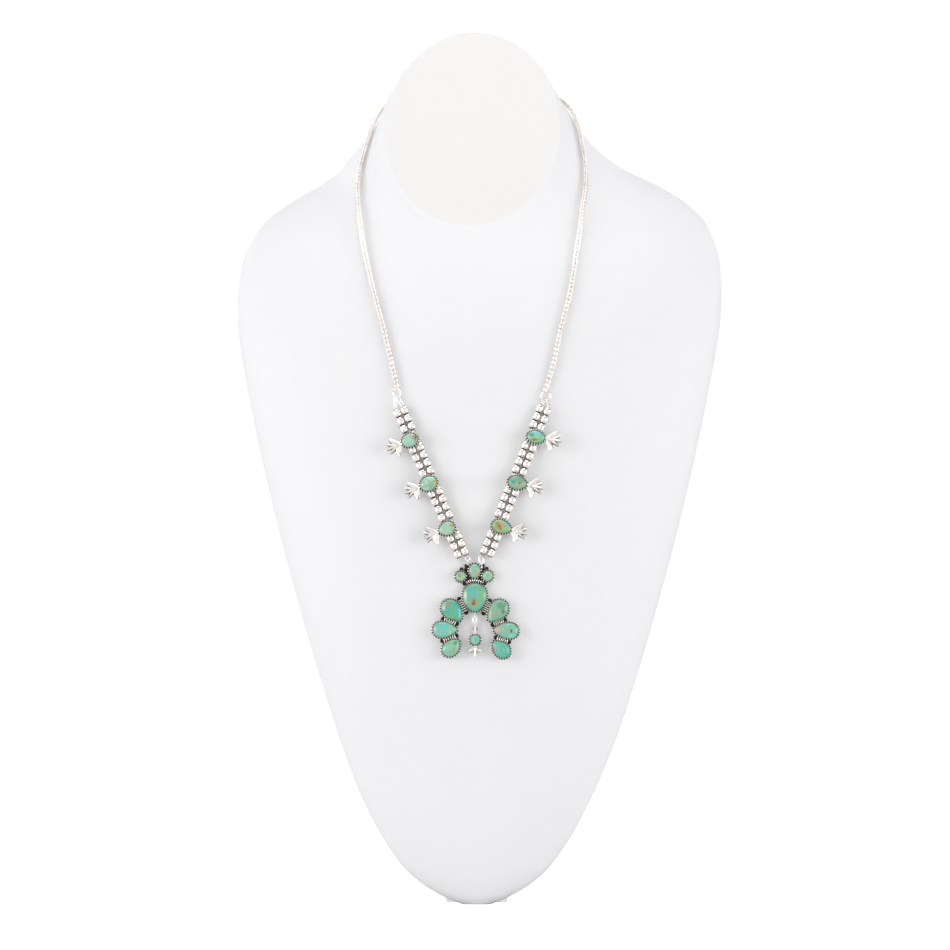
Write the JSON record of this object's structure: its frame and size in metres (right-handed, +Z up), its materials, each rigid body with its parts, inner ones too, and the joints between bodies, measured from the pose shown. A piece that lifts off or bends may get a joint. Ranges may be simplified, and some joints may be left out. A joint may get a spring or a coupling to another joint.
{
  "type": "squash blossom necklace on a neck bust",
  "caption": "Silver and turquoise squash blossom necklace with beaded strands, petalled blossoms and a horseshoe pendant, laid round a plain white neck bust with an easel leg.",
  "frame": {"origin": "centre of the bust's flat foot, on the surface that it stands on", "axes": "+Z up the bust, chest towards -Y, the wearer's left towards +X"},
  "size_m": [0.282, 0.1641, 0.508],
  "materials": {
    "silver": "polished, darkened in the recesses",
    "turquoise": "polished, with brown and ochre matrix",
    "leatherette": "satin, fine grain"
  },
  "bodies": {
    "root": {"neck_bust": "leatherette", "bust_leg": "leatherette", "chain_left": "silver", "chain_right": "silver", "clasp": "silver", "jump_ring_left": "silver", "jump_ring_right": "silver", "bead_wire_left_inner": "silver", "bead_wire_left_outer": "silver", "bead_wire_right_inner": "silver", "bead_wire_right_outer": "silver", "beads_left_inner": "silver", "beads_left_outer": "silver", "beads_right_inner": "silver", "beads_right_outer": "silver", "blossom_left_1": "silver", "blossom_left_2": "silver", "blossom_left_3": "silver", "blossom_right_1": "silver", "blossom_right_2": "silver", "blossom_right_3": "silver", "blossom_stone_left_1": "turquoise", "blossom_stone_left_2": "turquoise", "blossom_stone_left_3": "turquoise", "blossom_stone_right_1": "turquoise", "blossom_stone_right_2": "turquoise", "blossom_stone_right_3": "turquoise", "crown_ring_left": "silver", "crown_ring_right": "silver", "naja": "silver", "stone_centre": "turquoise", "stone_crown": "turquoise", "stone_crown_left": "turquoise", "stone_crown_right": "turquoise", "stone_upper_left": "turquoise", "stone_upper_right": "turquoise", "stone_middle_left": "turquoise", "stone_middle_right": "turquoise", "stone_lower_left": "turquoise", "stone_lower_right": "turquoise", "drop_ring": "silver", "drop_setting": "silver", "drop_stone": "turquoise"}
  },
  "joints": []
}
